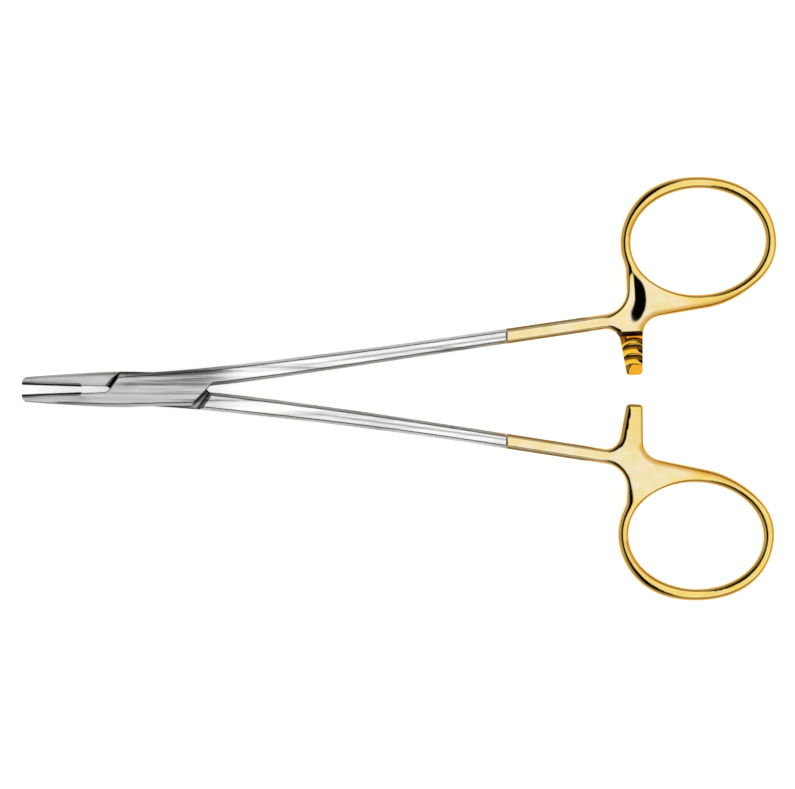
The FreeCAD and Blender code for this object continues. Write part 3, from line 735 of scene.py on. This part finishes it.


# %% [markdown]
# ## Where shade and highlight are painted on the plating
# The material needs to know where shade and highlight are painted. A browner painted shade lies along the
# rims, in a band that is up to 2.6 times as wide on the outside of the ring next to the bar and 1.9 times
# as wide on the far side of the hole. In the ratchet a dark brown painted shade lies on the step and the
# shallow slopes, and a bright painted highlight on the feet of the teeth, the hollow next to the step and
# the land below the teeth.

# %% Marks for the plating
def rim_distance(xy, outer, hole, depth):
    """Distance to the rim, divided by up to 1 + 1.6 or 1 + 0.9 where the band of painted shade is wider."""
    below = sideways(outer, False)[:, 1] < -0.3
    skirt = distance(xy, outer[below & (outer[:, 0] > 116.5)], False)
    skirt /= 1 + 1.6 * smooth_step(146, 132, xy[:, 0])
    below = sideways(hole, True)[:, 1] < -0.2
    eave = distance(xy, hole[below & (hole[:, 0] < 128)][::3], True)
    eave /= 1 + 0.9 * smooth_step(127, 118, xy[:, 0]) * smooth_step(20, 30, xy[:, 1])
    return np.minimum(depth, np.minimum(skirt, eave))


def groove_shade_and_highlight(xy, cut):
    """Share of the depth below the crests, which sets the painted shade and highlight; 0.3 on the step, 0.6
    or more next to it, 0.8 on the land.
    """
    groove = np.clip((CREST - cut) / TOOTH_DEPTH, 0, 1)
    groove = np.where(cut > CREST + 0.05, 0.3, groove)
    last = TOOTH_Y + (TOOTH_COUNT - 1) * TOOTH_PITCH - TOOTH_ARC
    beside = np.hypot(xy[:, 0] - BAR_MIDDLE, xy[:, 1] - last) > TOOTH_ARC + TOOTH_WALL
    beside &= (xy[:, 1] > 3) & (cut < CREST + 0.05)
    groove = np.where(beside, np.maximum(groove, 0.6), groove)
    return np.where((np.abs(cut - CREST) < 0.01) & (xy[:, 1] < TOOTH_Y - 0.15), 0.8, groove)


def plating_marks(xy, outer, hole, depth, height, ring, plain, toothed, cut):
    """Each mark's values on the toothed side and on the plain one. Flat places are where the film is high,
    and less so towards the bars."""
    edge = rim_distance(xy, outer, hole, depth)
    # wide says where the pale painted highlight goes
    wide = np.maximum(1 - ring, smooth_step(1.2, 3.0, height)) * (1 - 0.7 * smooth_step(11, 5, xy[:, 1]))
    cut_away = toothed < plain - 0.02
    return {"wide": (np.where(cut_away, 0, wide), wide), "edge": (np.where(cut_away, 1.0, edge), edge),
            "groove": (np.where(cut_away, groove_shade_and_highlight(xy, cut), 0), np.zeros(len(xy)))}


# %% [markdown]
# ## Closing the handle end
# Top and bottom are the same plan with other heights. The toothed side is up on the box arm and down on
# the tenon arm, which lies turned over. A strip of faces joins the two along every border of the plan, and
# points that meet at the rim are merged, so that the shading runs round it.

# %% Handle ends
def closed_solid(node, xy, tri, top, low):
    """Mesh of both heights over the plan. A border edge is one whose reverse belongs to no triangle."""
    n = len(xy)
    verts = np.vstack([np.c_[xy, top], np.c_[xy, low]])
    rim = np.vstack([tri[:, [0, 1]], tri[:, [1, 2]], tri[:, [2, 0]]]).tolist()
    known = {(a, b) for a, b in rim}
    rim = np.array([(a, b) for a, b in rim if (b, a) not in known])
    walls = np.c_[rim[:, 1], rim[:, 0], rim[:, 0] + n, rim[:, 1] + n]
    mesh = bpy.data.meshes.new(node)
    mesh.from_pydata(verts.tolist(), [], tri.tolist() + (tri[:, ::-1] + n).tolist() + walls.tolist())
    return mesh


def handle_end(node, body, side):
    """The arm from the start of the plating: plan, film, heights and marks, closed and put in place."""
    outer, hole = handle_outline(node, side)
    xy, tri = filled_plan(outer, hole)
    depth = np.minimum(distance(xy, outer, False), distance(xy, hole, True))
    height = film(xy, tri, depth < 1e-4)
    plain, ring, on_bar = plain_height(xy, depth, height, side)
    toothed, cut = toothed_height(xy, outer, plain, on_bar)
    marks = plating_marks(xy, outer, hole, depth, height, ring, plain, toothed, cut)
    mesh = closed_solid(node, xy, tri, *((toothed, -plain) if side > 0 else (plain, -toothed)))
    for name, both in marks.items():
        values = np.concatenate(both[::side]).astype(np.float32)
        mesh.attributes.new(name, "FLOAT", "POINT").data.foreach_set("value", values)
    mesh.transform(arm_matrix(side))
    if side < 0:
        mesh.flip_normals()
    bm = bmesh.new()
    bm.from_mesh(mesh)
    bmesh.ops.remove_doubles(bm, verts=bm.verts, dist=0.0004 * MM)
    bmesh.ops.dissolve_degenerate(bm, edges=bm.edges, dist=0.0004 * MM)
    open_edges = sum(len(e.link_faces) != 2 for e in bm.edges)
    finish_mesh(bm, mesh, 32)
    dressed(mesh, node + "_handle_end", node, body, gold)
    print(node, "handle end:", len(mesh.polygons), "faces,", open_edges, "open edges")


handle_end("box_arm", "box_side", 1)
handle_end("tenon_arm", "tenon_side", -1)

# %% [markdown]
# ## Rivet
# The rivet is ground flush with the box and brushed with it, so only a faint ring shows where it ends.

# %% Rivet
def whole_copy(node, body, material):
    """A merged copy of a whole CAD node, smoothly shaded."""
    bm = bmesh.new()
    bm.from_mesh(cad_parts[node].data)
    bmesh.ops.remove_doubles(bm, verts=bm.verts, dist=0.0005 * MM)
    mesh = bpy.data.meshes.new(node)
    finish_mesh(bm, mesh, 30, 0.6)
    return dressed(mesh, node + "_skin", node, body, material)


whole_copy("pivot_pin", "box_side", steel_material("satin_steel_ground_flush"))

# %% [markdown]
# ## Jaw inserts
# The gripping faces are tungsten carbide, soldered into the jaws. Sintered carbide is dark grey with a
# dull shine. From above only a thin dark line of it shows: behind that the insert is ground bright with
# the jaw.

# %% Insert material
def carbide_material():
    """Dark at the gripping face, ground bright like the jaw behind it. The jaws lie at negative x, so a
    point's distance from its own gripping face is |y| + x tan 2."""
    material, tree, out = new_material("sintered_tungsten_carbide")
    place = add(tree, "ShaderNodeTexCoord").outputs["Object"]
    grain = add(tree, "ShaderNodeTexNoise", Vector=place, Scale=4.0 / MM, Detail=3.0).outputs[0]
    dark = add(tree, "ShaderNodeValToRGB", Fac=grain, stops=((0.3, "#1E1F21"), (0.7, "#3E3F43"))).outputs[0]
    bright = add(tree, "ShaderNodeValToRGB", Fac=grain,
                 stops=((0.3, "#A2A3A4"), (0.7, "#C4C5C6"))).outputs[0]
    sides = add(tree, "ShaderNodeSeparateXYZ", Vector=place).outputs
    out_by = add(tree, "ShaderNodeMath", UNSIGNED, in0=sides[1]).outputs[0]
    behind = add(tree, "ShaderNodeMath", TIMES_PLUS, in0=sides[0], in1=GRIP_SLOPE, in2=out_by).outputs[0]
    polished = add(tree, "ShaderNodeMapRange", in0=behind, in1=0.48 * MM, in2=0.56 * MM).outputs[0]
    colour = add(tree, "ShaderNodeMix", MIXED, in0=polished, in6=dark, in7=bright).outputs[2]
    shader = add(tree, "ShaderNodeBsdfPrincipled", Metallic=1.0, Roughness=0.38)
    tree.links.new(colour, shader.inputs["Base Color"])
    tree.links.new(shader.outputs[0], out.inputs[0])
    return material


carbide = carbide_material()

# %% [markdown]
# ## Gripping pattern
# The gripping faces are cut with two sets of crossing grooves, which leave small pyramids that hold the
# needle. A bump map would look flat from the side, so the face is really cut: along the grooves, and along
# the diagonals of the diamonds too, so that each pyramid gets its point.

# %% Gripping pattern
PITCH = 0.45
PYRAMID = 0.12


def grip_directions(bm, facing):
    """Normal and middle of the gripping face, both the means over its triangles by area, and four
    directions in it: both grooves, then along the jaw and up."""
    front = [f for f in bm.faces if f.normal.y * facing > 0.95]
    normal = sum((f.normal * f.calc_area() for f in front), Vector()).normalized()
    middle = sum((f.calc_center_median() * f.calc_area() for f in front), Vector())
    middle /= sum(f.calc_area() for f in front)
    up = Vector((0, 0, 1))
    along = normal.cross(up).normalized()
    return normal, middle, ((along + up).normalized(), (along - up).normalized(), along, up)


def gripping_insert(node, body, facing):
    """A merged copy whose gripping face is cut along both grooves and both diagonals of a diamond grid.
    A point at a distance d from the nearest groove sinks by PYRAMID (1 - 2 d / PITCH)."""
    bm = bmesh.new()
    bm.from_mesh(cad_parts[node].data)
    bmesh.ops.remove_doubles(bm, verts=bm.verts, dist=0.0005 * MM)
    bmesh.ops.scale(bm, vec=(1 / MM,) * 3, verts=bm.verts)
    bm.normal_update()
    normal, middle, ways = grip_directions(bm, facing)
    half_cell = PITCH / math.sqrt(2)
    # the cuts reach past the face's ends: 7 mm each way across the grooves, 8 along the jaw, 3 up and down
    for way, step, reach in zip(ways, (PITCH, PITCH, half_cell, half_cell), (7, 7, 8, 3)):
        for k in range(-int(reach / step), int(reach / step) + 1):
            bmesh.ops.bisect_plane(bm, geom=bm.verts[:] + bm.edges[:] + bm.faces[:], dist=1e-5,
                                   plane_co=middle + k * step * way, plane_no=way)
    grid = [v for v in bm.verts if abs((v.co - middle).dot(normal)) < 0.003]
    flat = np.array([v.co - middle for v in grid])
    grooves = np.c_[flat @ np.array(ways[0]), flat @ np.array(ways[1])] / PITCH
    near = np.abs(grooves - np.round(grooves)).min(1)
    for vertex, sink in zip(grid, PYRAMID * (1 - 2 * near)):
        vertex.co -= normal * sink
    bmesh.ops.scale(bm, vec=(MM,) * 3, verts=bm.verts)
    mesh = bpy.data.meshes.new(node)
    finish_mesh(bm, mesh, 18)
    print(node, "has", len(mesh.polygons), "faces and", len(grid), "points on the grip")
    return dressed(mesh, node + "_grip", node, body, carbide)


gripping_insert("lower_jaw_insert", "box_side", 1)
gripping_insert("upper_jaw_insert", "tenon_side", -1)


# %% [markdown]
# ## Camera
# The photograph looks straight down. One of its pixels is 0.236 mm on the instrument, and the pivot lies
# left of the middle, at pixel 152.6 across and 389.2 down. The instrument is turned by a sixth of a
# degree.

# %% Camera
PIXEL = 0.236 * MM
ROLL = math.radians(0.17)
PHOTO_WIDTH, PHOTO_MIDDLE, PIVOT_AT = 795, (397.5, 394.5), (152.6, 389.2)
camera_data = bpy.data.cameras.new("photo_camera")
camera_data.type = "ORTHO"
camera_data.ortho_scale = PHOTO_WIDTH * PIXEL
camera_data.clip_start = 0.01
camera_data.clip_end = 10
camera = bpy.data.objects.new("photo_camera", camera_data)
bpy.context.scene.collection.objects.link(camera)
aim = ((PHOTO_MIDDLE[0] - PIVOT_AT[0]) * PIXEL, (PIVOT_AT[1] - PHOTO_MIDDLE[1]) * PIXEL, 0.5)
camera.location = Matrix.Rotation(-ROLL, 3, "Z") @ Vector(aim)
camera.rotation_euler = (0, 0, -ROLL)
bpy.context.scene.camera = camera
print("camera at", [round(c, 4) for c in camera.location])


# %% [markdown]
# ## Studio
# Polished metal shows the room rather than itself. The room here is a white tent: bright overhead, greyer
# towards the horizon. A dark gap along the top beside the camera draws the black lines on the gold, and
# two greyer seams, one along each side, shade the bevels. The gap lets more light in towards its far side,
# so that the flat tops stay bright from a lower camera. Gap and seams stay above the tent's walls, so that
# a low camera sees none of them on the flat faces.

# %% World
def gap_in_tent(tree, axes, aside):
    """How dark the gap is, 0 to 1: across the tent a little to the left of straight up, ended to both
    sides, and lighter towards its far side."""
    left = add(tree, "ShaderNodeMapRange", in0=axes[0], in1=-0.86, in2=-0.76).outputs[0]
    right = add(tree, "ShaderNodeMapRange", in0=axes[0], in1=-0.075, in2=-0.045, in3=1.0, in4=0.0).outputs[0]
    shut = add(tree, "ShaderNodeMapRange", in0=axes[0], in1=-0.75, in2=-0.35, in3=0.42, in4=1.0).outputs[0]
    short = add(tree, "ShaderNodeMapRange", in0=aside, in1=0.5, in2=0.75, in3=1.0, in4=0.0).outputs[0]
    gap = add(tree, "ShaderNodeMath", TIMES, in0=left, in1=right).outputs[0]
    gap = add(tree, "ShaderNodeMath", TIMES, in0=gap, in1=shut).outputs[0]
    return add(tree, "ShaderNodeMath", TIMES, in0=gap, in1=short).outputs[0]


def studio():
    """The tent's brightness by height, times the seams by |y|, times what the gap leaves. The camera
    itself sees plain white."""
    world = bpy.data.worlds.new("light_tent")
    bpy.context.scene.world = world
    world.use_nodes = True
    tree = world.node_tree
    tree.nodes.clear()
    out = tree.nodes.new("ShaderNodeOutputWorld")
    way = add(tree, "ShaderNodeTexCoord").outputs["Generated"]
    axes = add(tree, "ShaderNodeSeparateXYZ", Vector=way).outputs
    tent = add(tree, "ShaderNodeFloatCurve", Value=axes[2])
    aside = add(tree, "ShaderNodeMath", UNSIGNED, in0=axes[1]).outputs[0]
    seams = add(tree, "ShaderNodeFloatCurve", Value=aside)
    by_height = ((0.0, 0.3), (0.25, 0.55), (0.5, 0.85), (0.75, 1.0), (1.0, 1.0))
    by_side = ((0.0, 1.0), (0.5, 1.0), (0.6, 0.32), (0.82, 0.30), (0.92, 0.75), (1.0, 0.85))
    for curve, points in ((tent, by_height), (seams, by_side)):
        shape = curve.mapping.curves[0]
        shape.points[0].location, shape.points[1].location = points[0], points[-1]
        for point in points[1:-1]:
            shape.points.new(*point)
        curve.mapping.update()
    gap = gap_in_tent(tree, axes, aside)
    left_open = add(tree, "ShaderNodeMath", MINUS, in0=1.0, in1=gap).outputs[0]
    left_open = add(tree, "ShaderNodeMath", TIMES, in0=left_open, in1=seams.outputs[0]).outputs[0]
    high = add(tree, "ShaderNodeMapRange", in0=axes[2], in1=0.36, in2=0.5).outputs[0]
    left_open = add(tree, "ShaderNodeMix", in0=high, in2=1.0, in3=left_open).outputs[0]
    light = add(tree, "ShaderNodeMath", TIMES, in0=tent.outputs[0], in1=left_open).outputs[0]
    light = add(tree, "ShaderNodeMath", TIMES, in0=light, in1=1.06).outputs[0]
    tented = add(tree, "ShaderNodeBackground", Strength=light, Color=(1, 1, 1, 1)).outputs[0]
    white = add(tree, "ShaderNodeBackground", Color=(1, 1, 1, 1), Strength=1.0).outputs[0]
    seen = add(tree, "ShaderNodeLightPath").outputs["Is Camera Ray"]
    mix = add(tree, "ShaderNodeMixShader", in0=seen, in1=tented, in2=white).outputs[0]
    tree.links.new(mix, out.inputs[0])
    print("light tent has", len(tree.nodes), "nodes")


studio()
bpy.context.scene.view_settings.view_transform = "Standard"

# %% [markdown]
# ## Floor
# The instrument lies on a plain white sheet. To the camera, and in the metal's reflections, the sheet gets
# a glow that makes it pure white, as in the photograph, but it still takes the shadow. All other light
# sees plain paper.

# %% Floor
def floor():
    """A square sheet, 12 m wide and 0.2 mm below the instrument."""
    mesh = bpy.data.meshes.new("white_sheet")
    r = 6.0
    mesh.from_pydata([(-r, -r, 0), (r, -r, 0), (r, r, 0), (-r, r, 0)], [], [(0, 1, 2, 3)])
    sheet = bpy.data.objects.new("white_sheet", mesh)
    bpy.context.scene.collection.objects.link(sheet)
    sheet.location.z = -0.2 * MM
    material, tree, out = new_material("matt_white_paper")
    paper = add(tree, "ShaderNodeBsdfPrincipled", Roughness=0.9)
    paper.inputs["Base Color"].default_value = linear("#F4F4F4")
    rays = add(tree, "ShaderNodeLightPath").outputs
    seen = add(tree, "ShaderNodeMath", LARGER, in0=rays["Is Camera Ray"],
               in1=rays["Is Glossy Ray"]).outputs[0]
    seen = add(tree, "ShaderNodeMath", LARGER, in0=seen, in1=rays["Is Transmission Ray"]).outputs[0]
    glow = add(tree, "ShaderNodeEmission", Color=(1, 1, 1, 1), Strength=0.68).outputs[0]
    lit = add(tree, "ShaderNodeAddShader", in0=paper.outputs[0], in1=glow).outputs[0]
    both = add(tree, "ShaderNodeMixShader", in0=seen, in1=paper.outputs[0], in2=lit).outputs[0]
    tree.links.new(both, out.inputs[0])
    mesh.materials.append(material)
    print("sheet", 2 * r, "m wide")


floor()
